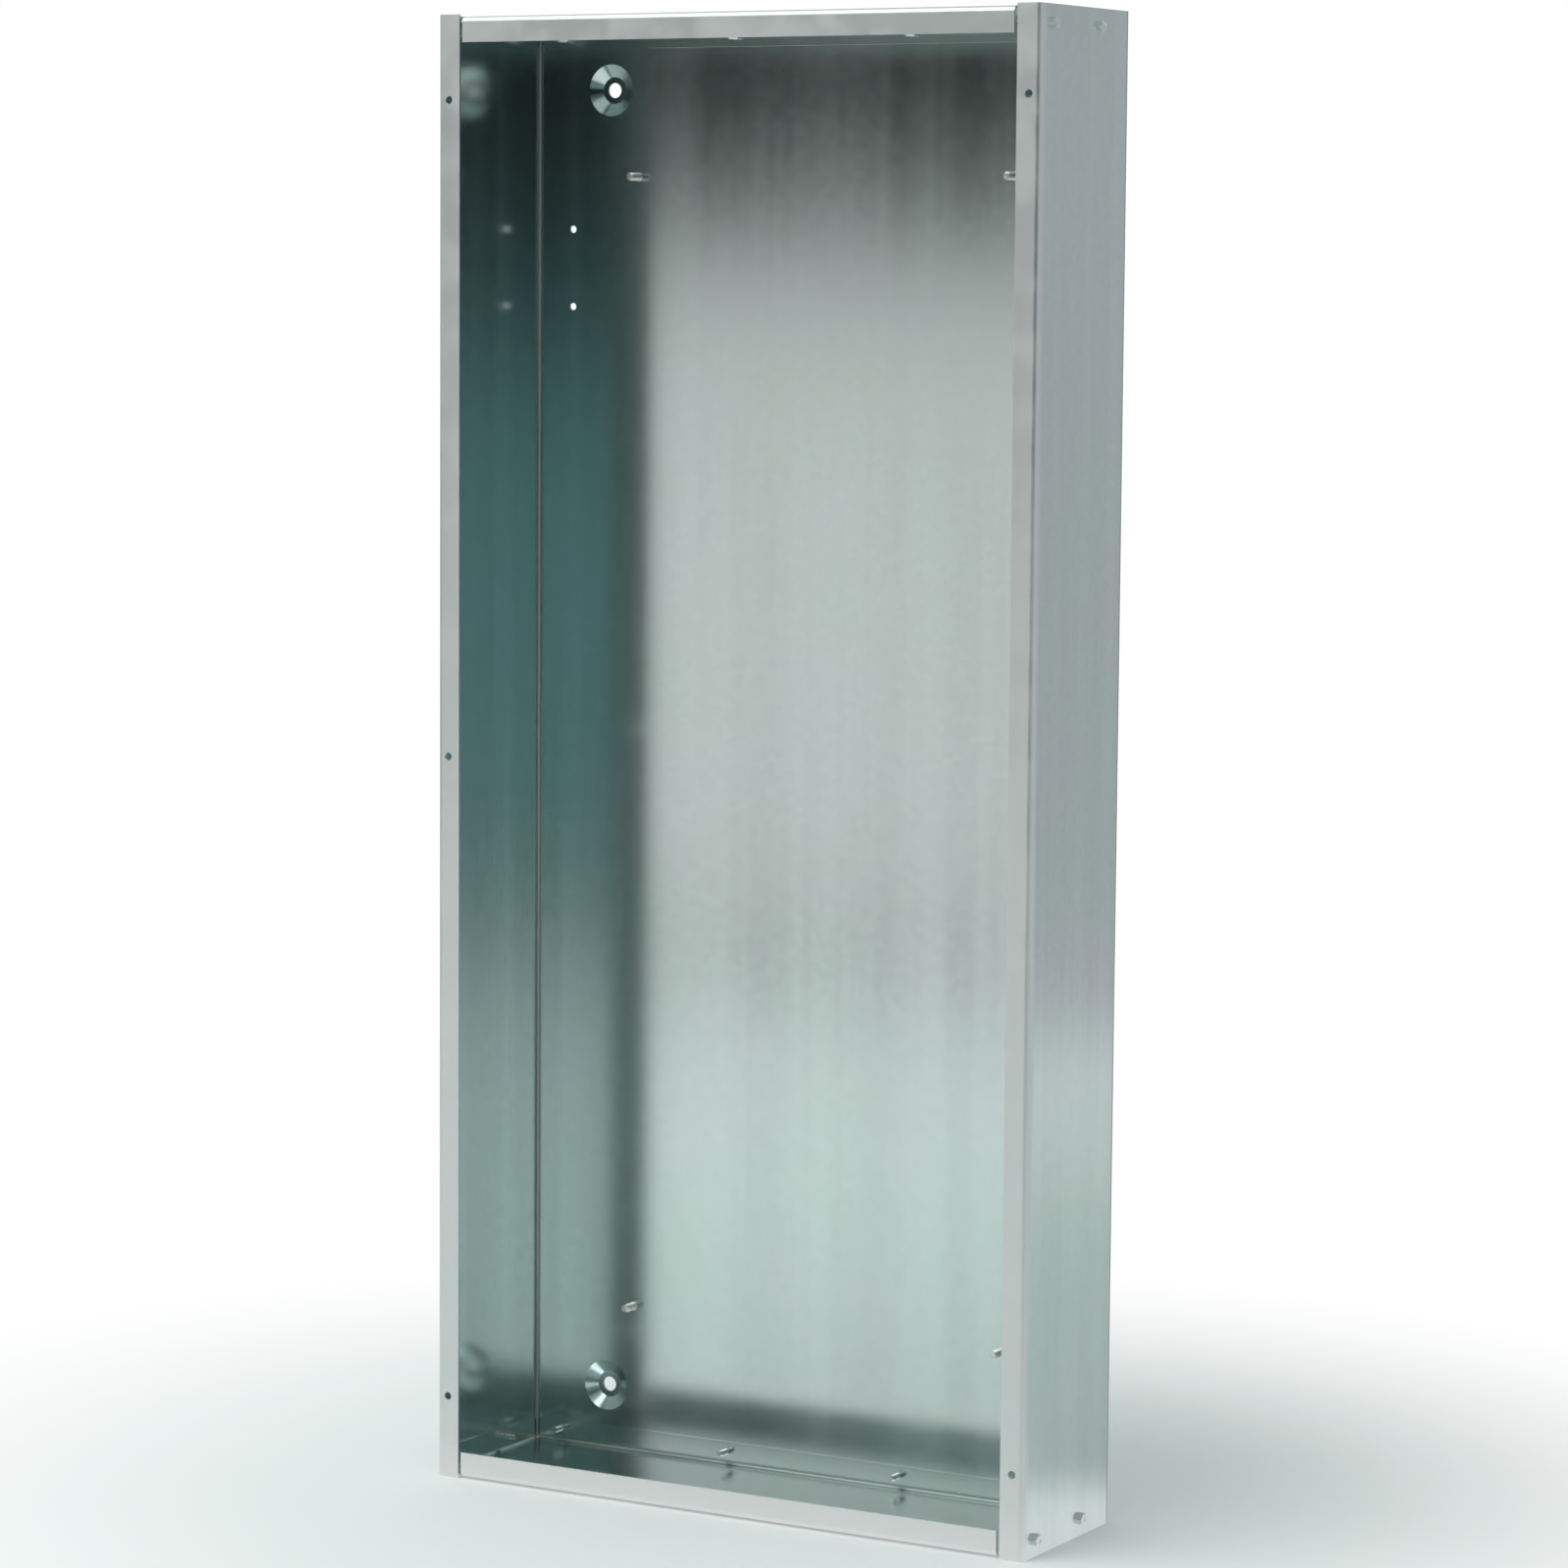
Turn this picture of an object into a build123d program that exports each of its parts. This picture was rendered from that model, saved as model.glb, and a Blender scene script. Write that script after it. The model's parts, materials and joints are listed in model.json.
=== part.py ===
from build123d import *
from math import atan, tan
import os

# Panelboard enclosure: an empty box of galvanised sheet steel, open at the front.
# One sheet makes the back, both sides and the side flanges. Two equal folded
# sheets close its ends, each held by eight screws.
#
# Millimetres. X runs to the right seen from the front, Y from front to back and
# Z up. The origin is under the middle of the box, on the plane that it stands on.

# The box
width = 508.0
height = 1117.6
depth = 146.05              # from the flanges to the pads that touch the wall
sheet = 1.6                 # 16 gauge
bend_radius = 2.4           # inside every fold
side_flange = 19.05
end_flange = 19.05
end_tab = 19.05             # tabs of an end wall, along the back and the sides
end_recess = 1.6            # from the ends of the sides in to the end walls
flange_seam = 2.4           # open seam between an end flange and a side flange
tab_relief = 2.0            # from the front fold of a side to the tab beside it
tab_clip = 3.0              # clipped off the free corners of the tabs

# Drawn pads that hold the back off the wall, with the mounting holes
pad_standoff = 5.2
pad_flank = 9.5             # width of the sloping ring
pad_land = 4.9              # width of the flat ring round the hole
mount_hole = 11.5
mount_side_inset = 66.7
mount_end_inset = 52.4

# Holes for the cover trim in the side flanges, and for a ground bar in the back
trim_hole = 6.0
trim_side_inset = 9.5
trim_end_inset = 63.5
ground_hole = 5.6
ground_side_inset = 32.5
ground_top_inset = 158.75
ground_pitch = 59.5

# Threaded studs that are welded to the back
stud_diameter = 6.35
stud_length = 12.7
stud_side_inset = 91.5
stud_end_inset = 118.5

# Hex-head screws that hold the end walls
screw_diameter = 4.83
screw_length = 12.7         # under the head
thread_flats = 10           # a screw's thread is drawn as a bar with this many flats
hex_width = 7.94            # across the flats of the head
hex_height = 3.8
screw_clearance = 0.25      # round the screw, in the outer sheet
thread_clearance = 0.05     # round the screw, in the tab that it is driven into
back_screw_count = 4
back_screw_inset = 25.4     # from a side to the nearest screw in the back
side_screw_front = 19.05    # from the front face
side_screw_pitch = 73.0

# Faces and lines that follow from the sizes above
outer_radius = bend_radius + sheet
front_y = -depth / 2
pad_y = depth / 2
back_y = pad_y - pad_standoff
inner_back_y = back_y - sheet
side_x = width / 2
inner_side_x = side_x - sheet
fold_x = inner_side_x - outer_radius             # where an end wall turns into its side tabs
tab_flat_middle = (outer_radius + end_tab) / 2
screw_line = end_recess + tab_flat_middle        # height of the screws above the ends of the sides
through = 4 * sheet                              # length of a cutter that clears one sheet


def folded_strip(*points):
    """Section of a folded sheet. The points run along its outer face, with the inside on the left."""
    outer_face = FilletPolyline(*points, radius=outer_radius)
    return make_face(outer_face.offset_2d(sheet, side=Side.LEFT).edges())


def facing_rear(x, y, z):
    """A seat at the point, square to the depth of the box, with its normal to the rear."""
    return Plane(origin=(x, y, z), x_dir=(1, 0, 0), z_dir=(0, 1, 0))


def facing_side(side, y, z):
    """A seat on the outer face of one side: -1 is the left one and 1 is the right one."""
    return Plane(origin=(side * side_x, y, z), x_dir=(0, 1, 0), z_dir=(side, 0, 0))


def corner_seats(side_inset, end_inset, y):
    """Four seats in the corners of the back, inset from the sides and from the ends."""
    places = GridLocations(width - 2 * side_inset, height - 2 * end_inset, 2, 2)
    return [facing_rear(place.position.X, y, height / 2 + place.position.Y) for place in places]


def screw_seats(z):
    """Seats of the eight screws of the end wall whose screw line is at height z."""
    pitch = (width - 2 * back_screw_inset) / (back_screw_count - 1)
    first_x = back_screw_inset - side_x
    on_back = [facing_rear(first_x + i * pitch, back_y, z) for i in range(back_screw_count)]
    front_row = front_y + side_screw_front
    rows = (front_row, front_row + side_screw_pitch)
    on_sides = [facing_side(side, y, z) for side in (-1, 1) for y in rows]
    return on_back + on_sides


bottom_seats = screw_seats(screw_line)
top_seats = screw_seats(height - screw_line)
mount_seats = corner_seats(mount_side_inset, mount_end_inset, back_y)
stud_seats = corner_seats(stud_side_inset, stud_end_inset, inner_back_y)


def round_cutters(seats, diameter):
    """Round cutters through one sheet, centred on each seat."""
    return [seat * Cylinder(diameter / 2, through) for seat in seats]


def pad_cone(draw_in, base):
    """The cone of a pad round +Z, from its rim at the base to its land, with both radii drawn in."""
    land = mount_hole / 2 + pad_land - draw_in
    rim = land + pad_flank
    cone = Cone(rim, land, pad_standoff, align=(Align.CENTER, Align.CENTER, Align.MIN))
    return Pos(0, 0, base) * cone


def back_and_sides():
    """The wrapper: back, sides and side flanges from one sheet, with its pads and holes."""
    flange_x = side_x - side_flange
    section = folded_strip(
        (flange_x, front_y),
        (side_x, front_y),
        (side_x, back_y),
        (-side_x, back_y),
        (-side_x, front_y),
        (-flange_x, front_y),
    )
    wrapper = extrude(section, amount=height)

    # A pad is a cone behind the back and the same cone cut out of the front, one sheet forward.
    # Drawn in by this much, the cut leaves the sloping ring as thick as the sheet.
    slope = atan(pad_standoff / pad_flank)
    draw_in = sheet * tan(slope / 2)
    wrapper += [seat * pad_cone(0, 0) for seat in mount_seats]
    wrapper -= [seat * pad_cone(draw_in, -sheet) for seat in mount_seats]
    pad_seats = [seat.offset(pad_standoff) for seat in mount_seats]
    wrapper -= round_cutters(pad_seats, mount_hole)

    # The left flange has three trim holes. The right one has no hole at mid-height.
    trim_x = side_x - trim_side_inset
    trim_top = height - trim_end_inset
    trim_places = [(-trim_x, z) for z in (trim_end_inset, height / 2, trim_top)]
    trim_places += [(trim_x, z) for z in (trim_end_inset, trim_top)]
    trim_seats = [facing_rear(x, front_y, z) for x, z in trim_places]
    wrapper -= round_cutters(trim_seats, trim_hole)

    ground_x = ground_side_inset - side_x
    ground_top = height - ground_top_inset
    ground_seats = [facing_rear(ground_x, back_y, ground_top - row * ground_pitch) for row in (0, 1)]
    wrapper -= round_cutters(ground_seats, ground_hole)

    wrapper -= round_cutters(bottom_seats + top_seats, screw_diameter + 2 * screw_clearance)
    return wrapper


def bottom_end_wall():
    """The lower end wall: a floor with a front flange, a tab up the back and a tab up each side."""
    lip_z = end_recess + end_flange
    tab_z = end_recess + end_tab

    flange_floor_tab = folded_strip(
        (front_y, lip_z),
        (front_y, end_recess),
        (inner_back_y, end_recess),
        (inner_back_y, tab_z),
    )
    wall = extrude(Plane.YZ * flange_floor_tab, amount=fold_x, both=True)
    rear_tab_corners = wall.edges().filter_by(Axis.Y).group_by(Axis.Y)[-1]
    wall = chamfer(rear_tab_corners, tab_clip)

    # Each end of the front flange is notched back to its fold, clear of the side flange.
    flange_end_x = side_x - side_flange - flange_seam
    notch = Box(fold_x - flange_end_x, 2 * outer_radius, 2 * lip_z)
    notch_x = (fold_x + flange_end_x) / 2
    wall -= [Pos(side * notch_x, front_y, lip_z) * notch for side in (-1, 1)]

    side_tab = folded_strip(
        (fold_x - sheet, end_recess),
        (inner_side_x, end_recess),
        (inner_side_x, tab_z),
    )
    tab_front_y = front_y + outer_radius + tab_relief
    tab_rear_y = inner_back_y - outer_radius
    tab_end = Plane.XZ.offset(-tab_rear_y) * side_tab
    right_tab = extrude(tab_end, amount=tab_rear_y - tab_front_y)
    side_tab_corners = right_tab.edges().filter_by(Axis.X).group_by(Axis.Z)[-1]
    right_tab = chamfer(side_tab_corners, tab_clip)
    wall += right_tab + mirror(right_tab, about=Plane.YZ)

    inner_seats = [seat.offset(-sheet) for seat in bottom_seats]
    wall -= round_cutters(inner_seats, screw_diameter + 2 * thread_clearance)
    return wall


def end_wall_screw():
    """A hex-head screw round Z: its head sits on Z = 0 and its thread points down."""
    head = extrude(RegularPolygon(hex_width / 2, side_count=6, major_radius=False), amount=hex_height)
    thread = extrude(RegularPolygon(screw_diameter / 2, side_count=thread_flats), amount=-screw_length)
    return head + thread


def interior_stud():
    """A weld stud round Z: it stands on Z = 0 and points down, into the box."""
    return Cylinder(stud_diameter / 2, stud_length, align=(Align.CENTER, Align.CENTER, Align.MAX))


def group(seats, piece):
    """Separate copies of one piece, one on each seat."""
    return Compound(children=[seat * piece for seat in seats])


lower_wall = bottom_end_wall()
screw = end_wall_screw()
nodes = {
    "back_and_sides": back_and_sides(),
    "bottom_end_wall": lower_wall,
    # The same sheet, turned over about the depth of the box
    "top_end_wall": Pos(0, 0, height) * Rot(0, 180, 0) * lower_wall,
    "bottom_wall_screws": group(bottom_seats, screw),
    "top_wall_screws": group(top_seats, screw),
    "interior_studs": group(stud_seats, interior_stud()),
}

os.makedirs("parts", exist_ok=True)
for name, shape in nodes.items():
    export_step(shape, f"parts/{name}.step")
    print(name, round(shape.volume), "mm3")
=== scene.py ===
# %% [markdown]
# # A panelboard enclosure in galvanised steel
#
# The object is an empty wall box for a panelboard. One galvanised sheet makes its back, its sides
# and the flanges beside its open front. Two folded sheets close the ends, held by small hex-head
# screws, and four threaded studs stand on the back. The solids already have the right shape, so this
# lesson gives the sheets their finish, models the threaded fasteners, and sets up the studio.
#
# The first step loads the solids as a fixed frame. Everything is in metres, with Z up. The box that
# the solids fill is kept, and the floor measures from it. The box that the solids fill is kept,
# because the finished picture has to stay inside it.

# %% Load the solids
import json
import math

import bmesh
import bpy
from mathutils import Matrix, Vector


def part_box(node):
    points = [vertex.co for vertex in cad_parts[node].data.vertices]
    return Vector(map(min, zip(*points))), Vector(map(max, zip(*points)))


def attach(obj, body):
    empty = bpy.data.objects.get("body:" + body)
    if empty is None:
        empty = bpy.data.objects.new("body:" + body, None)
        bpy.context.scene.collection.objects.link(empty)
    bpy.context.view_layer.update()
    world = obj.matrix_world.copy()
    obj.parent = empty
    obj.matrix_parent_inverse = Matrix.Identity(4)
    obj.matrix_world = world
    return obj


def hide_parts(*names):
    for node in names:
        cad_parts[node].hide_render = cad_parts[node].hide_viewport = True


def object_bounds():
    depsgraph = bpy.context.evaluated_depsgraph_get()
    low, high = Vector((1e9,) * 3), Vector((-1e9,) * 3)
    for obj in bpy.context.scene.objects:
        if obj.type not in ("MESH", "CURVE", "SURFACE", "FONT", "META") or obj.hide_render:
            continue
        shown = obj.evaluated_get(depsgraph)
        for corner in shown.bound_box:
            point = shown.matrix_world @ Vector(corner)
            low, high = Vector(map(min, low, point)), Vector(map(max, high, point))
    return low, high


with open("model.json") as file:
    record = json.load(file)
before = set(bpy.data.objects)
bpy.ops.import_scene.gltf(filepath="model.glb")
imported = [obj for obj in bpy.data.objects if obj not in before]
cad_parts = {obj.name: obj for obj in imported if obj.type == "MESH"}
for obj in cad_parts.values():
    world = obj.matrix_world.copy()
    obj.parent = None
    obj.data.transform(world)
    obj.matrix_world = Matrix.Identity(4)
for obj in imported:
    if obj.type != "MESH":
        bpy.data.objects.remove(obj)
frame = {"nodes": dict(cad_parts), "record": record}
cad_low, cad_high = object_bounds()
print("nodes:", sorted(frame["nodes"]))
print("box of the solids:", [round(x, 4) for x in cad_high - cad_low])

# %% [markdown]
# ## The camera
#
# The box is seen from its right and a little above its middle, through a long lens, so its upright
# edges stay nearly parallel. A camera can be aimed by hand until the corners agree with the picture,
# or worked out from those corners. These values were worked out, so the camera needs no shift: only
# a place, a turn to the left, a tilt down and a very small roll.

# %% Make the camera
camera_place = Vector((1.8966, -3.2866, 0.9359))
camera_turn = math.radians(29.879)
camera_tilt_down = math.radians(5.872)
camera_roll = math.radians(0.432)
picture_width = 1600
focal_pixels = 5191.65
quarter_turn = math.radians(90)

camera = bpy.data.objects.new("camera", bpy.data.cameras.new("camera"))
bpy.context.scene.collection.objects.link(camera)
camera.data.lens = camera.data.sensor_width * focal_pixels / picture_width
camera.matrix_world = (
    Matrix.Translation(camera_place)
    @ Matrix.Rotation(camera_turn, 4, "Z")
    @ Matrix.Rotation(quarter_turn - camera_tilt_down, 4, "X")
    @ Matrix.Rotation(camera_roll, 4, "Z")
)
bpy.context.scene.camera = camera
bpy.context.scene.view_settings.view_transform = "Standard"
print("lens:", round(camera.data.lens, 1), "mm")

# %% [markdown]
# ## Patterns that several finishes share
#
# Zinc on steel is never one flat grey. It has soft clouds where the coating is thicker, long bands
# from the rolling mill, and a fine crystal spangle. Hands and folding tools have rubbed its front faces
# dull. Its rear folds are painted darker, as shade for the inside corners there, and made duller. All
# this could be painted as an image, but a pattern made from nodes has no seams and stays sharp close
# up. Each pattern is a node group, built once, that takes a place on the surface and gives back a
# number from 0 to 1.

# %% Helpers for node trees


def feed(tree, value, socket):
    """Gives a socket a fixed value, or links another node's output to it."""
    if isinstance(value, bpy.types.NodeSocket):
        tree.links.new(value, socket)
    else:
        socket.default_value = value


def maths(tree, operation, *values):
    """A Math node on one to three values."""
    node = tree.nodes.new("ShaderNodeMath")
    node.operation = operation
    for value, socket in zip(values, node.inputs):
        feed(tree, value, socket)
    return node.outputs["Value"]


def vector_maths(tree, operation, first, second=None):
    """A Vector Math node. A scale takes a number second, and other steps take a vector or nothing."""
    node = tree.nodes.new("ShaderNodeVectorMath")
    node.operation = operation
    feed(tree, first, node.inputs[0])
    if second is not None:
        feed(tree, second, node.inputs["Scale" if operation == "SCALE" else 1])
    return node.outputs["Value" if operation in ("LENGTH", "DOT_PRODUCT") else "Vector"]


def spread(tree, value, span, new_span=(0.0, 1.0)):
    """A smooth Map Range node from one span of numbers to another."""
    node = tree.nodes.new("ShaderNodeMapRange")
    node.interpolation_type = "SMOOTHSTEP"
    labels = ("Value", "From Min", "From Max", "To Min", "To Max")
    for label, number in zip(labels, (value, *span, *new_span)):
        feed(tree, number, node.inputs[label])
    return node.outputs["Result"]


def axes_of(tree, vector):
    """The X, Y and Z of a vector, as three outputs."""
    node = tree.nodes.new("ShaderNodeSeparateXYZ")
    tree.links.new(vector, node.inputs["Vector"])
    return node.outputs


# %% Helpers for shader groups


def shader_group(name, numbers, output):
    """A new shader group that takes a place and some numbers, with its input and output nodes."""
    group = bpy.data.node_groups.new(name, "ShaderNodeTree")
    group.interface.new_socket("Place", in_out="INPUT", socket_type="NodeSocketVector")
    for label, value in numbers.items():
        socket = group.interface.new_socket(label, in_out="INPUT", socket_type="NodeSocketFloat")
        socket.default_value = value
    group.interface.new_socket(output, in_out="OUTPUT", socket_type="NodeSocketFloat")
    print("group:", name)
    return group, group.nodes.new("NodeGroupInput"), group.nodes.new("NodeGroupOutput")


def placed(tree, group, place, inputs):
    """The output of a group that is put into a tree, fed with a place and its other inputs."""
    node = tree.nodes.new("ShaderNodeGroup")
    node.node_tree = group
    tree.links.new(place, node.inputs["Place"])
    for label, value in inputs.items():
        feed(tree, value, node.inputs[label])
    return node.outputs[0]


def divided_by_size(tree, source):
    """The group's place, counted in lengths of its Size input."""
    per_size = maths(tree, "DIVIDE", 1.0, source.outputs["Size"])
    return vector_maths(tree, "SCALE", source.outputs["Place"], per_size)


# %% Clouds: soft patches of any size
noise_span = (0.32, 0.68)       # where most of a noise pattern's numbers lie


def make_clouds():
    tree, source, result = shader_group("Zinc clouds", {"Size": 0.1}, "Clouds")
    noise = tree.nodes.new("ShaderNodeTexNoise")
    noise.inputs["Scale"].default_value = 1.0
    noise.inputs["Detail"].default_value = 3.0
    tree.links.new(divided_by_size(tree, source), noise.inputs["Vector"])
    tree.links.new(spread(tree, noise.outputs["Fac"], noise_span), result.inputs["Clouds"])
    return tree


clouds_group = make_clouds()

# %% Spangle: flat crystals


def make_spangle():
    tree, source, result = shader_group("Zinc spangle", {"Size": 0.006}, "Crystal")
    cells = tree.nodes.new("ShaderNodeTexVoronoi")
    cells.inputs["Scale"].default_value = 1.0
    tree.links.new(divided_by_size(tree, source), cells.inputs["Vector"])
    shade = tree.nodes.new("ShaderNodeSeparateColor")
    tree.links.new(cells.outputs["Color"], shade.inputs["Color"])
    tree.links.new(shade.outputs["Red"], result.inputs["Crystal"])
    return tree


spangle_group = make_spangle()

# %% Rubbed front: the faces that hands and the folding tools have touched
rubbed_core = 0.3               # the share of the reach that is rubbed all over
rubbed_least = 0.75             # how much the least rubbed patches show it


def nearness(tree, distance, reach, core):
    """1 within the core, which is a share of the reach, and from there down to 0 at the reach."""
    return spread(tree, maths(tree, "DIVIDE", distance, reach), (core, 1.0), (1.0, 0.0))


def make_rubbed_front():
    numbers = {"Front": 0.0, "Reach": 0.010, "Patch Size": 0.03}
    tree, source, result = shader_group("Rubbed front", numbers, "Rubbed")
    place = source.outputs["Place"]
    from_front = maths(tree, "SUBTRACT", axes_of(tree, place)["Y"], source.outputs["Front"])
    near = nearness(tree, from_front, source.outputs["Reach"], rubbed_core)
    patches = placed(tree, clouds_group, place, {"Size": source.outputs["Patch Size"]})
    uneven = spread(tree, patches, (0.0, 1.0), (rubbed_least, 1.0))
    tree.links.new(maths(tree, "MULTIPLY", near, uneven), result.inputs["Rubbed"])
    return tree


rubbed_group = make_rubbed_front()

# %% Rear fold shade: painted shade in the inside corners of the rear folds, which are also made duller
fold_shade_core = 0.5               # the share of the reach that is fully shaded and roughened


def make_fold_shade():
    numbers = {"Rear": 1.0, "To Edge": 1.0, "Reach": 0.006}
    tree, source, result = shader_group("Crazed folds", numbers, "Crazed")
    reach = source.outputs["Reach"]
    to_rear = maths(tree, "SUBTRACT", source.outputs["Rear"], axes_of(tree, source.outputs["Place"])["Y"])
    near_rear = nearness(tree, to_rear, reach, fold_shade_core)
    near_edge = nearness(tree, source.outputs["To Edge"], reach, fold_shade_core)
    tree.links.new(maths(tree, "MULTIPLY", near_rear, near_edge), result.inputs["Crazed"])
    return tree


fold_shade_group = make_fold_shade()

# %% [markdown]
# ## The galvanised sheet
#
# Galvanised sheet is bare metal, so nearly all that it shows is a blurred reflection. Its colour is a
# pale grey with a breath of green, which deepens where light bounces twice, as in the corners of the
# box. The shader is a plain metal whose colour, roughness and fine relief are varied by the groups. It
# is paler and duller where it is rubbed. In the folds at the rear it is duller, and its colour is
# darkened there as painted shade. The bands run the way the sheet was rolled: up the back and the
# sides, and along the end walls.

# %% Helpers for materials


def new_metal(name):
    """A metal material, with its node tree, its shader and a node for the place on the piece."""
    material = bpy.data.materials.new(name)
    material.use_nodes = True
    tree = material.node_tree
    shader = tree.nodes["Principled BSDF"]
    shader.inputs["Metallic"].default_value = 1.0
    return material, tree, shader, tree.nodes.new("ShaderNodeTexCoord").outputs["Object"]


def stretched(tree, place, scale):
    """The place with each axis scaled, which draws a pattern out along the small ones."""
    node = tree.nodes.new("ShaderNodeMapping")
    node.inputs["Scale"].default_value = scale
    tree.links.new(place, node.inputs["Vector"])
    return node.outputs["Vector"]


def mixed(tree, factor, first, second):
    """A mix of two colours, each a fixed one or another node's output."""
    node = tree.nodes.new("ShaderNodeMix")
    node.data_type = "RGBA"
    first_socket, second_socket = node.inputs[6], node.inputs[7]
    feed(tree, factor, node.inputs["Factor"])
    feed(tree, first, first_socket)
    feed(tree, second, second_socket)
    return node.outputs[2]


def bumped(tree, shader, height, depth):
    """Fine relief on the shader, from a height of 0 to 1 and its depth in metres."""
    node = tree.nodes.new("ShaderNodeBump")
    node.inputs["Distance"].default_value = depth
    tree.links.new(height, node.inputs["Height"])
    tree.links.new(node.outputs["Normal"], shader.inputs["Normal"])


def to_edge(tree, place, axis, low, high):
    """How far a place lies inside the nearer of two outer faces, which are square to an axis."""
    from_middle = maths(tree, "SUBTRACT", axes_of(tree, place)[axis], (low + high) / 2)
    return maths(tree, "SUBTRACT", (high - low) / 2, maths(tree, "ABSOLUTE", from_middle))


# %% Make the sheet's finish
sheet_green = (0.570, 0.665, 0.635, 1.0)
sheet_blue = (0.590, 0.660, 0.665, 1.0)
rubbed_zinc = (0.700, 0.725, 0.715, 1.0)
# painted shade: a darker colour that stands in for the shade in the inside corners of the rear folds
painted_fold_shade = (0.33, 0.37, 0.36, 1.0)
cloud_size = 0.16
band_width = 0.045
line_width = 0.0025
line_depth = 0.0000015
crystal_size = 0.007
along_roll = 0.02               # how far a band's pattern changes along the roll, against across it
band_shades = (0.95, 1.03)      # the colour's brightness from band to band
crystal_shades = (0.985, 1.015)
sheet_roughness = 0.16
band_roughness = 0.03           # added in the bands, and so on
crystal_roughness = 0.008
rubbed_roughness = 0.28
fold_roughness = 0.30


def galvanised_sheet(name, roll, low, high):
    """Galvanised sheet between two corners. Its bands and folds run along an axis: 0 is X and 2 is Z."""
    material, tree, shader, place = new_metal(name)
    rolled = stretched(tree, place, [along_roll if axis == roll else 1.0 for axis in range(3)])
    clouds = placed(tree, clouds_group, place, {"Size": cloud_size})
    bands = placed(tree, clouds_group, rolled, {"Size": band_width})
    lines = placed(tree, clouds_group, rolled, {"Size": line_width})
    crystal = placed(tree, spangle_group, place, {"Size": crystal_size})
    rubbed = placed(tree, rubbed_group, place, {"Front": low.y})
    across = 2 - roll
    edge = to_edge(tree, place, across, low[across], high[across])
    fold_shade = placed(tree, fold_shade_group, place, {"Rear": high.y, "To Edge": edge})

    colour = mixed(tree, clouds, sheet_green, sheet_blue)
    for pattern, shades in ((bands, band_shades), (crystal, crystal_shades)):
        colour = vector_maths(tree, "SCALE", colour, spread(tree, pattern, (0.0, 1.0), shades))
    colour = mixed(tree, rubbed, colour, rubbed_zinc)
    # painted shade in the rear folds
    colour = mixed(tree, fold_shade, colour, painted_fold_shade)
    tree.links.new(colour, shader.inputs["Base Color"])

    roughness = maths(tree, "MULTIPLY_ADD", bands, band_roughness, sheet_roughness)
    roughness = maths(tree, "MULTIPLY_ADD", crystal, crystal_roughness, roughness)
    roughness = maths(tree, "MULTIPLY_ADD", rubbed, rubbed_roughness, roughness)
    roughness = maths(tree, "MULTIPLY_ADD", fold_shade, fold_roughness, roughness)
    tree.links.new(roughness, shader.inputs["Roughness"])
    bumped(tree, shader, lines, line_depth)
    return material


# %% Dress the sheets
MM = 0.001
pad_standoff = 5.2 * MM         # from the back to the wall, on the drawn pads
wrapper_low, wrapper_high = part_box("back_and_sides")
back_y = wrapper_high.y - pad_standoff
back_corner = Vector((wrapper_high.x, back_y, wrapper_high.z))
end_walls_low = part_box("bottom_end_wall")[0]
end_walls_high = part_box("top_end_wall")[1]
upright_sheet = galvanised_sheet("galvanised sheet rolled upright", 2, wrapper_low, back_corner)
crosswise_sheet = galvanised_sheet("galvanised sheet rolled crosswise", 0, end_walls_low, end_walls_high)


def dress(node, material):
    """Gives one of the solids its finish."""
    mesh = frame["nodes"][node].data
    mesh.materials.clear()
    mesh.materials.append(material)


dress("back_and_sides", upright_sheet)
dress("bottom_end_wall", crosswise_sheet)
dress("top_end_wall", crosswise_sheet)
print("sheet materials:", upright_sheet.name, "and", crosswise_sheet.name)

# %% [markdown]
# ## The plated fasteners
#
# The screws and studs are zinc plated, a brighter and cleaner skin than the sheet's. The same clouds,
# made small, dull it here and there, and smaller still they are the fine grain of the plating.

# %% Make the fasteners' finishes
dull_patch_size = 0.004
dull_roughness = 0.12           # added where the plating is dull
grain_size = 0.0006
grain_depth = 0.00001


def plated_steel(name, colour, dull_colour, clean_roughness):
    """Zinc-plated steel with small dull patches."""
    material, tree, shader, place = new_metal(name)
    dull = placed(tree, clouds_group, place, {"Size": dull_patch_size})
    grain = placed(tree, clouds_group, place, {"Size": grain_size})
    tree.links.new(mixed(tree, dull, colour, dull_colour), shader.inputs["Base Color"])
    roughness = maths(tree, "MULTIPLY_ADD", dull, dull_roughness, clean_roughness)
    tree.links.new(roughness, shader.inputs["Roughness"])
    bumped(tree, shader, grain, grain_depth)
    return material


screw_plating = plated_steel("plated screw", (0.74, 0.75, 0.74, 1.0), (0.60, 0.62, 0.61, 1.0), 0.22)
stud_plating = plated_steel("plated stud", (0.72, 0.72, 0.69, 1.0), (0.58, 0.58, 0.55, 1.0), 0.30)
print("fastener materials:", screw_plating.name, "and", stud_plating.name)

# %% [markdown]
# ## A screw thread
#
# A thread is one small profile, a ridge and a groove, swept round and up at the same time. It could be
# a displaced cylinder, but then the ridges are jagged. Here a single point is extruded along the
# profile, as by hand, and the Screw modifier sweeps it. Two straight cuts then close the ends, and the
# free end is drawn in so that a nut would start on it.
#
# The fasteners are modelled with one unit for a millimetre, because Blender's merging distances suit
# that size. They are scaled to metres when they are put in place.

# %% Helpers for modelling


def clear_selection():
    if bpy.context.mode != "OBJECT":
        bpy.ops.object.mode_set(mode="OBJECT")
    bpy.ops.object.select_all(action="DESELECT")


def pick(piece):
    """Selects one piece alone and makes it the active one."""
    clear_selection()
    piece.select_set(True)
    bpy.context.view_layer.objects.active = piece


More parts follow.
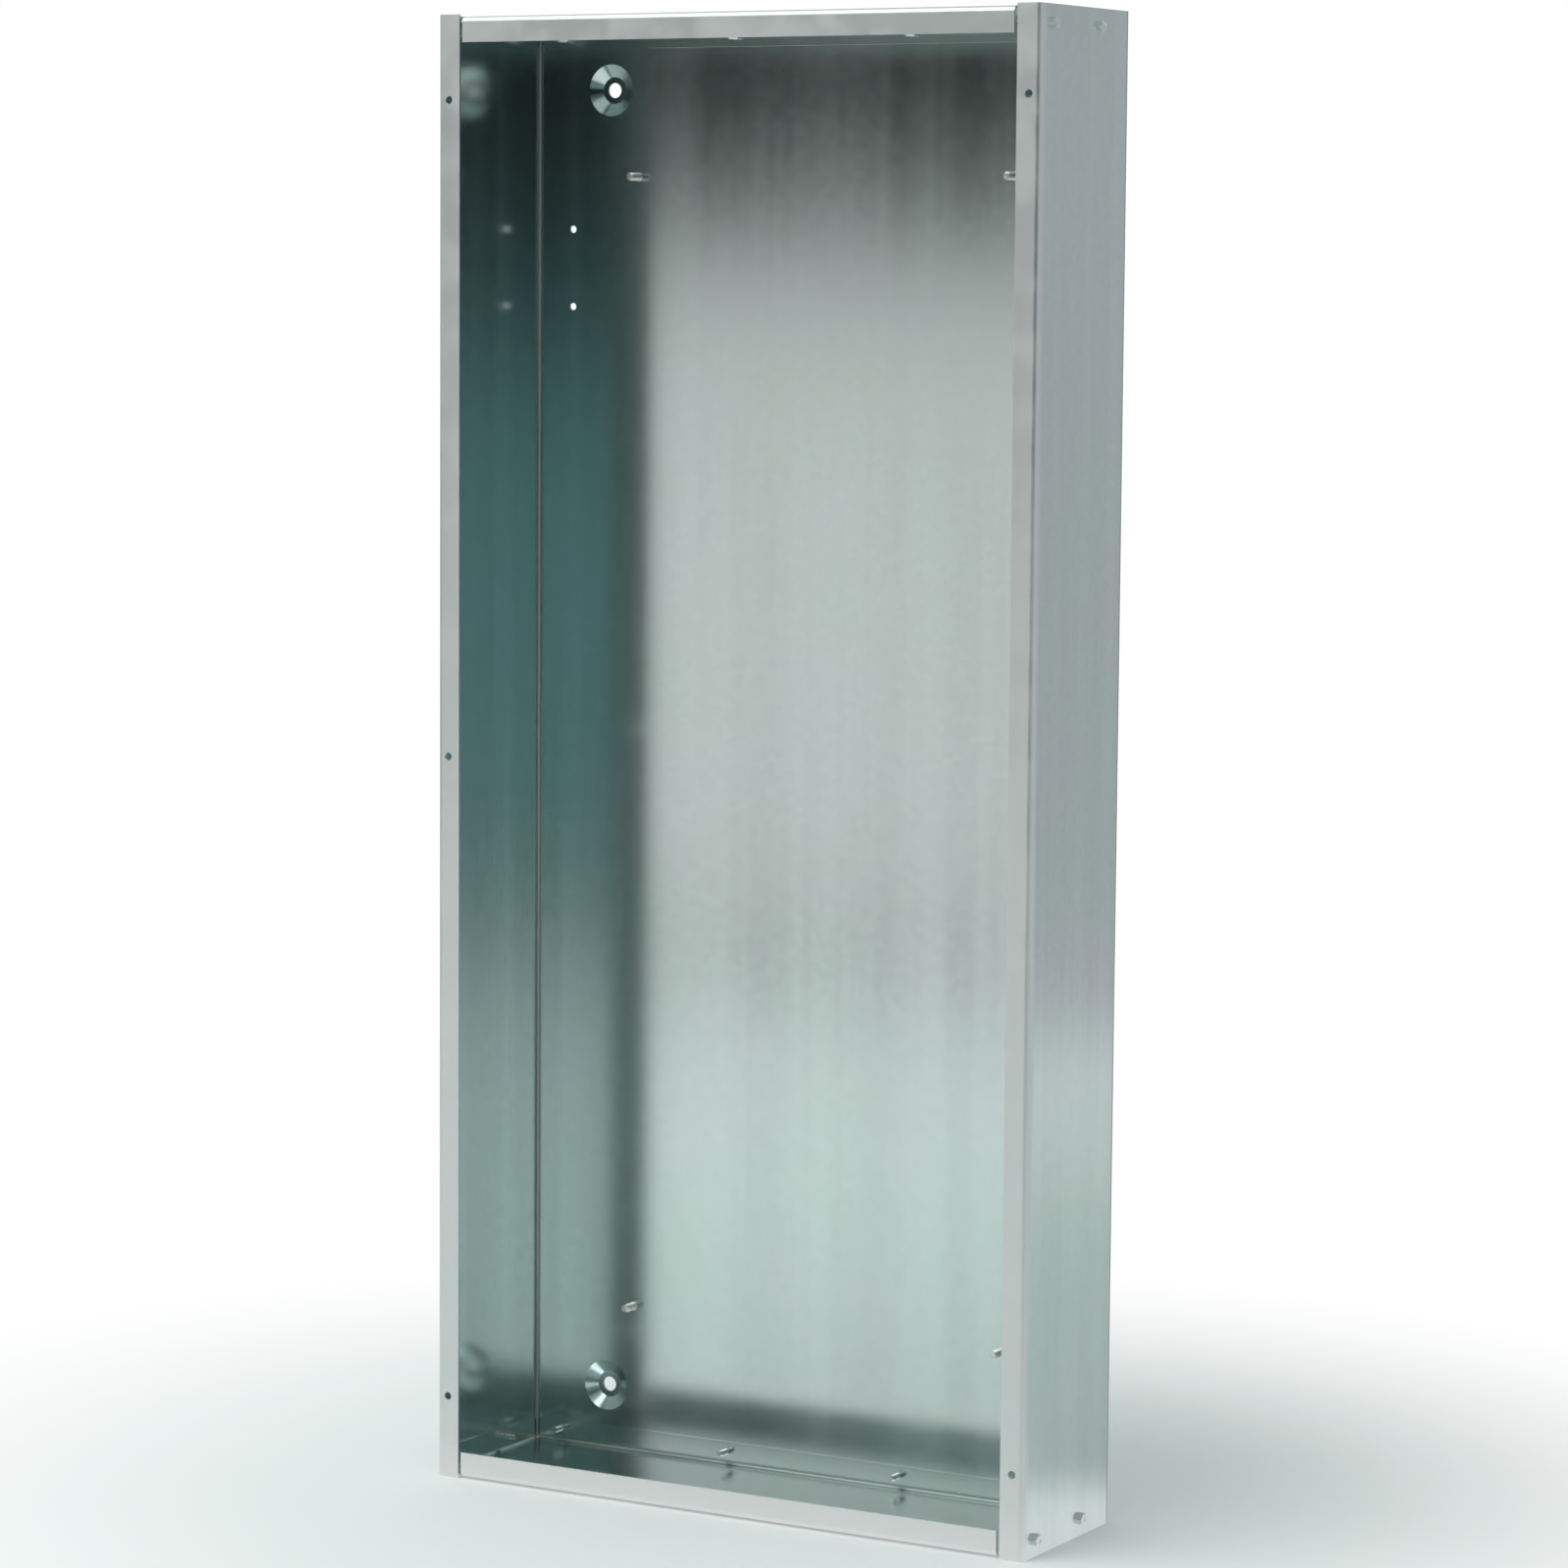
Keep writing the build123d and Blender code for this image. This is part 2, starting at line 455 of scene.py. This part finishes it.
def open_for_editing(piece):
    """Edit mode on one piece, with all of its vertices selected."""
    pick(piece)
    bpy.ops.object.mode_set(mode="EDIT")
    bpy.ops.mesh.select_mode(type="VERT")
    bpy.ops.mesh.select_all(action="SELECT")


def select_where(piece, kind, test):
    """In edit mode, selects only the verts or faces whose middle passes the test."""
    bpy.ops.mesh.select_mode(type={"verts": "VERT", "faces": "FACE"}[kind])
    bpy.ops.mesh.select_all(action="DESELECT")
    work = bmesh.from_edit_mesh(piece.data)
    for item in getattr(work, kind):
        corners = [item] if kind == "verts" else item.verts
        middle = sum((corner.co for corner in corners), Vector()) / len(corners)
        item.select_set(test(middle))
    work.select_flush_mode()
    bmesh.update_edit_mesh(piece.data)


def face_outwards():
    """In edit mode, points every face of the piece outwards."""
    bpy.ops.mesh.select_all(action="SELECT")
    bpy.ops.mesh.normals_make_consistent(inside=False)
    bpy.ops.object.mode_set(mode="OBJECT")


def apply_modifier(piece, kind, **settings):
    """Adds a modifier to the piece, sets it up and applies it."""
    pick(piece)
    modifier = piece.modifiers.new(kind.lower(), kind)
    for label, value in settings.items():
        setattr(modifier, label, value)
    bpy.ops.object.modifier_apply(modifier=modifier.name)


def combine(piece, tool, operation):
    """A Boolean of two closed pieces. The tool is used up."""
    apply_modifier(piece, "BOOLEAN", object=tool, operation=operation, solver="EXACT")
    bpy.data.objects.remove(tool)


# %% Make a thread
turn_steps = 24
thread_depth = 0.61             # the ridge's height and the two flats, as shares of the pitch
crest_flat = 1 / 8
root_flat = 1 / 4
point_width = 0.72              # the drawn-in end, as a share of the rod
merge_distance = 0.001
cut_tolerance = 0.0001
level_tolerance = 0.01


def threaded_rod(name, diameter, pitch, length, top):
    """A closed rod with a thread round Z, from the given top down to minus its length."""
    depth = thread_depth * pitch
    crest = crest_flat * pitch
    root = root_flat * pitch
    flank = (pitch - crest - root) / 2
    start = -length - 2 * pitch
    profile = [(0, root), (depth, flank), (0, crest), (-depth, flank)]

    clear_selection()
    bpy.ops.mesh.primitive_plane_add(size=1, location=(0, 0, 0))
    rod = bpy.context.object
    rod.name = name
    open_for_editing(rod)
    bpy.ops.mesh.merge(type="CENTER")
    bpy.ops.transform.translate(value=(diameter / 2 - depth, 0, start))
    for out, up in profile:
        bpy.ops.mesh.extrude_vertices_move(TRANSFORM_OT_translate={"value": (out, 0, up)})
    bpy.ops.object.mode_set(mode="OBJECT")

    turns = math.ceil((top - start) / pitch) + 1
    apply_modifier(rod, "SCREW", axis="Z", screw_offset=pitch, iterations=turns, steps=turn_steps,
                   render_steps=turn_steps)
    open_for_editing(rod)
    bpy.ops.mesh.remove_doubles(threshold=merge_distance)
    for height, below, above in ((top, False, True), (-length, True, False)):
        bpy.ops.mesh.select_all(action="SELECT")
        bpy.ops.mesh.bisect(plane_co=(0, 0, height), plane_no=(0, 0, 1), use_fill=True,
                            clear_inner=below, clear_outer=above, threshold=cut_tolerance)
    select_where(rod, "verts", lambda middle: middle.z < -length + level_tolerance)
    bpy.ops.transform.resize(value=(point_width, point_width, 1), center_override=(0, 0, -length))
    face_outwards()
    return rod


# %% [markdown]
# ## The hex-head screws
#
# The head starts as a six-sided prism. On a real screw a cone then trims the corners, which leaves six
# small arcs. A Boolean with a cone gives the same arcs, which a bevel can't. The top is inset and
# pushed in a little, as on a cold-formed head, and the thread is joined on below.

# %% Make one screw
head_width = 7.94
head_height = 3.8
screw_diameter = 4.83
screw_pitch = 1.058
screw_length = 12.7
thread_in_head = 0.4            # how far the rod reaches into the head that it is joined to
sixth_half = math.radians(30)   # half of one of the head's six sides
trim_slope = math.radians(30)
trim_radius = 0.46 * head_width
cone_spare = 1.0                # how far the trimming cone reaches past the head
cone_sides = 48
rim_width = 0.9
recess_depth = 0.35
top_tolerance = 0.001


def hex_screw():
    clear_selection()
    corner = head_width / math.sqrt(3)
    bpy.ops.mesh.primitive_cylinder_add(vertices=6, radius=corner, depth=head_height,
                                        location=(0, 0, head_height / 2), rotation=(0, 0, sixth_half))
    head = bpy.context.object
    head.name = "hex_screw"
    bpy.ops.object.transform_apply(location=True, rotation=True, scale=True)

    top_radius = trim_radius - cone_spare / math.tan(trim_slope)
    foot_radius = trim_radius + (head_height + cone_spare) / math.tan(trim_slope)
    clear_selection()
    bpy.ops.mesh.primitive_cone_add(vertices=cone_sides, radius1=foot_radius, radius2=top_radius,
                                    depth=head_height + 2 * cone_spare, location=(0, 0, head_height / 2))
    combine(head, bpy.context.object, "INTERSECT")

    open_for_editing(head)
    select_where(head, "faces", lambda middle: middle.z > head_height - top_tolerance)
    bpy.ops.mesh.inset(thickness=rim_width)
    bpy.ops.mesh.inset(thickness=recess_depth, depth=-recess_depth)
    bpy.ops.object.mode_set(mode="OBJECT")

    rod = threaded_rod("thread", screw_diameter, screw_pitch, screw_length, thread_in_head)
    combine(head, rod, "UNION")
    return head


screw = hex_screw()
print("one screw:", len(screw.data.polygons), "faces")

# %% [markdown]
# ## The welded studs
#
# Each stud is a short threaded rod that was welded to the back, so a thin uneven ring of flash lies
# round its foot. The ring is half a torus, cut level with the sheet and shaken a little.

# %% Make one stud
stud_diameter = 6.35
stud_pitch = 1.27
stud_length = 12.7
flash_width = 0.45
flash_unevenness = 0.06
flash_steps_round = 40
flash_steps_across = 10


def weld_stud():
    stud = threaded_rod("weld_stud", stud_diameter, stud_pitch, stud_length, 0.0)
    clear_selection()
    bpy.ops.mesh.primitive_torus_add(major_segments=flash_steps_round, minor_segments=flash_steps_across,
                                     major_radius=stud_diameter / 2, minor_radius=flash_width)
    flash = bpy.context.object
    open_for_editing(flash)
    bpy.ops.transform.vertex_random(offset=flash_unevenness, seed=4)
    bpy.ops.mesh.bisect(plane_co=(0, 0, 0), plane_no=(0, 0, 1), use_fill=True, clear_outer=True,
                        threshold=cut_tolerance)
    face_outwards()
    combine(stud, flash, "UNION")
    return stud


stud = weld_stud()
print("one stud:", len(stud.data.polygons), "faces")

# %% [markdown]
# ## Putting the fasteners in place
#
# The screws sit on the outer faces of the box, with their heads outside: four along the back and two on
# each side, at both ends. The studs stand on the inner face of the back. Each copy has its own mesh,
# with its place in the mesh, and stands for the plain solids of its node.

# %% Helper for placing
smooth_angle = math.radians(35)


def put(piece, name, turn, place, node, material):
    """A copy of a fastener at its seat, with its own mesh, in metres."""
    pick(piece)
    bpy.ops.object.duplicate(linked=False)
    copy = bpy.context.object
    copy.name = name
    copy.matrix_world = Matrix.Translation(place) @ turn @ Matrix.Scale(MM, 4)
    bpy.ops.object.transform_apply(location=True, rotation=True, scale=True)
    bpy.ops.object.shade_smooth_by_angle(angle=smooth_angle)
    copy.data.materials.clear()
    copy.data.materials.append(material)
    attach(copy, "root")
    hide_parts(node)


# %% Place the screws
back_screw_inset = 25.4 * MM
back_screw_count = 4
side_screw_front = 19.05 * MM
side_screw_pitch = 73.0 * MM
facing_rear = Matrix.Rotation(-quarter_turn, 4, "X")
facing_right = Matrix.Rotation(quarter_turn, 4, "Y") @ Matrix.Rotation(quarter_turn, 4, "Z")
facing_left = Matrix.Rotation(-quarter_turn, 4, "Y") @ Matrix.Rotation(quarter_turn, 4, "Z")


def screw_seats(z):
    """The turns and places of the eight screws of one end wall, at height z."""
    span = wrapper_high.x - wrapper_low.x - 2 * back_screw_inset
    seats = []
    for i in range(back_screw_count):
        x = wrapper_low.x + back_screw_inset + span * i / (back_screw_count - 1)
        seats.append((facing_rear, Vector((x, back_y, z))))
    for i in range(2):
        y = wrapper_low.y + side_screw_front + i * side_screw_pitch
        seats.append((facing_left, Vector((wrapper_low.x, y, z))))
        seats.append((facing_right, Vector((wrapper_high.x, y, z))))
    return seats


for end in ("bottom", "top"):
    node = f"{end}_wall_screws"
    node_low, node_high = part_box(node)
    seats = screw_seats((node_low.z + node_high.z) / 2)
    for i, (turn, place) in enumerate(seats):
        put(screw, f"{end}_wall_screw_{i + 1}", turn, place, node, screw_plating)
    print(node, "placed:", len(seats))
bpy.data.objects.remove(screw)

# %% Place the studs
studs_mount = next(m for m in frame["record"]["mounts"] if m["name"] == "interior_studs")
studs_middle = Vector(studs_mount["pos_m"])
half_across = studs_mount["dims"]["spacing_x_mm"] * MM / 2
half_up = studs_mount["dims"]["spacing_y_mm"] * MM / 2
for across, side in ((-1, "left"), (1, "right")):
    for up, row in ((-1, "lower"), (1, "upper")):
        place = studs_middle + Vector((across * half_across, 0, up * half_up))
        put(stud, f"stud_{row}_{side}", facing_rear, place, "interior_studs", stud_plating)
bpy.data.objects.remove(stud)

# %% [markdown]
# ## The floor
#
# The box stands on a plain pale floor. Close to the box the floor takes light and shadow like paper.
# Further out it fades into the white of the background. The metal could mirror just the same floor, but
# then the lower flange would show only the box's own shadow. So the metal sees white paper right beside
# the box, and again far out.

# %% Make the floor
floor_radius = 2.6
clear_selection()
bpy.ops.mesh.primitive_circle_add(vertices=128, radius=floor_radius, fill_type="NGON", location=(0, 0, 0))
floor = bpy.context.object
floor.name = "floor"
print("floor radius:", floor_radius)

# %% Make the floor's paper
paper_white = (0.92, 0.92, 0.92, 1.0)
paper_roughness = 0.9
camera_fade = (0.3, 0.95)       # from the middle of the box, where the picture fades to white
far_fade = (1.0, 2.4)           # from the middle of the box, where the metal's view does
far_white = 0.7
beside_fade = (0.02, 0.2)       # out from the box's foot, where the metal's white ends
beside_white = 0.9


def mirrored_rays(rays):
    """1 for a ray that a metal or a glass sends on, and 0 for any other."""
    return maths(rays.id_data, "ADD", rays.outputs["Is Glossy Ray"], rays.outputs["Is Transmission Ray"])


def floor_paper():
    material = bpy.data.materials.new("floor paper")
    material.use_nodes = True
    tree = material.node_tree
    surface = tree.nodes["Principled BSDF"]
    surface.inputs["Base Color"].default_value = paper_white
    surface.inputs["Roughness"].default_value = paper_roughness
    surface.inputs["Specular IOR Level"].default_value = 0.0

    place = tree.nodes.new("ShaderNodeTexCoord").outputs["Object"]
    from_middle = vector_maths(tree, "LENGTH", place)
    outside = vector_maths(tree, "ABSOLUTE", place)
    outside = vector_maths(tree, "SUBTRACT", outside, (cad_high.x, cad_high.y, 0.0))
    outside = vector_maths(tree, "MAXIMUM", outside, (0.0, 0.0, 0.0))
    from_foot = vector_maths(tree, "LENGTH", outside)
    white_far_out = spread(tree, from_middle, far_fade, (0.0, far_white))
    white_beside = spread(tree, from_foot, beside_fade, (beside_white, 0.0))
    white_to_metal = maths(tree, "ADD", white_far_out, white_beside)
    white_to_camera = spread(tree, from_middle, camera_fade)

    rays = tree.nodes.new("ShaderNodeLightPath")
    whiteness = maths(tree, "MULTIPLY", white_to_camera, rays.outputs["Is Camera Ray"])
    whiteness = maths(tree, "MULTIPLY_ADD", white_to_metal, mirrored_rays(rays), whiteness)
    blend = tree.nodes.new("ShaderNodeMixShader")
    white = tree.nodes.new("ShaderNodeEmission")
    for value, socket in zip((whiteness, surface.outputs[0], white.outputs[0]), blend.inputs):
        tree.links.new(value, socket)
    tree.links.new(blend.outputs[0], tree.nodes["Material Output"].inputs["Surface"])
    return material


floor.data.materials.append(floor_paper())
print("floor material:", floor.data.materials[0].name)

# %% [markdown]
# ## The room
#
# Bare metal shows the room round it, so the room matters as much as the lamps. A white backdrop stands
# behind the box. The walls beside it are grey, the ceiling is a little paler, and the room in front is
# left dark, which is what makes the upper corner of the box so deep. The world's colour is mixed from
# the direction of a ray. The camera sees the backdrop's white all round, and the metal sees it where the
# backdrop stands.

# %% Make the room
wall_grey = (0.52, 0.53, 0.55, 1.0)
ceiling_grey = (0.56, 0.64, 0.62, 1.0)
dark_room = (0.004, 0.006, 0.006, 1.0)
backdrop_white = (1.0, 1.0, 1.0, 1.0)
side_wall_reach = 0.9           # how far the grey walls come round to the front
wall_fade = (-0.2, 0.35)        # from the dark room to the grey walls
ceiling_fade = (0.18, 0.55)     # the rise of a ray, from the walls to the ceiling
backdrop_fade = (0.90, 0.95)    # the cosine of a ray to the backdrop's middle, at the backdrop's edge

world = bpy.data.worlds.new("studio")
bpy.context.scene.world = world
world.use_nodes = True
tree = world.node_tree
direction = tree.nodes.new("ShaderNodeTexCoord").outputs["Generated"]
along = axes_of(tree, direction)
behind = maths(tree, "MULTIPLY_ADD", maths(tree, "ABSOLUTE", along["X"]), side_wall_reach, along["Y"])
walls = mixed(tree, spread(tree, behind, wall_fade), dark_room, wall_grey)
room = mixed(tree, spread(tree, along["Z"], ceiling_fade), walls, ceiling_grey)

backdrop_way = Vector((-math.sin(camera_turn), math.cos(camera_turn), 0.0))
on_backdrop = spread(tree, vector_maths(tree, "DOT_PRODUCT", direction, backdrop_way), backdrop_fade)
rays = tree.nodes.new("ShaderNodeLightPath")
seen = maths(tree, "MULTIPLY_ADD", mirrored_rays(rays), on_backdrop, rays.outputs["Is Camera Ray"])
tree.links.new(mixed(tree, seen, room, backdrop_white), tree.nodes["Background"].inputs["Color"])
print("world:", world.name)

# %% [markdown]
# ## The lamps
#
# A wide softbox stands on the floor at the front left, just where the back of the box mirrors the
# camera's view, and so it lights the back. Above its upper edge the back falls into the dark of the
# room. A larger softbox high above it lights the flanges and the fasteners, and one hangs overhead for
# the floor. A dim cool card at the front right is what the left side shows.

# %% Make the lamps


def softbox(name, place, aim, width, height, brightness, colour):
    """A soft rectangular lamp, aimed at a point. Its brightness is what a mirror would show of it."""
    lamp = bpy.data.lights.new(name, "AREA")
    lamp.shape = "RECTANGLE"
    lamp.size = width
    lamp.size_y = height
    lamp.energy = brightness * width * height * math.pi
    lamp.color = colour
    holder = bpy.data.objects.new(name, lamp)
    bpy.context.scene.collection.objects.link(holder)
    holder.visible_camera = False
    holder.location = place
    holder.rotation_euler = (Vector(aim) - Vector(place)).to_track_quat("-Z", "Y").to_euler()


softbox("low softbox", place=(-1.5, -2.6, 0.48), aim=(-0.1, 0.0, 0.48),
        width=1.6, height=0.96, brightness=0.84, colour=(1.0, 0.98, 0.97))
softbox("high softbox", place=(-1.3, -2.25, 2.9), aim=(0.0, 0.0, 0.9),
        width=3.6, height=2.4, brightness=1.1, colour=(0.97, 1.0, 0.99))
softbox("overhead softbox", place=(-0.8, -1.3, 2.5), aim=(-0.6, -0.8, 0.0),
        width=2.4, height=2.4, brightness=1.1, colour=(1.0, 1.0, 1.0))
softbox("cool card", place=(1.6, -2.8, 0.4), aim=(0.0, 0.0, 0.45),
        width=1.4, height=0.8, brightness=0.33, colour=(0.5, 0.98, 1.0))
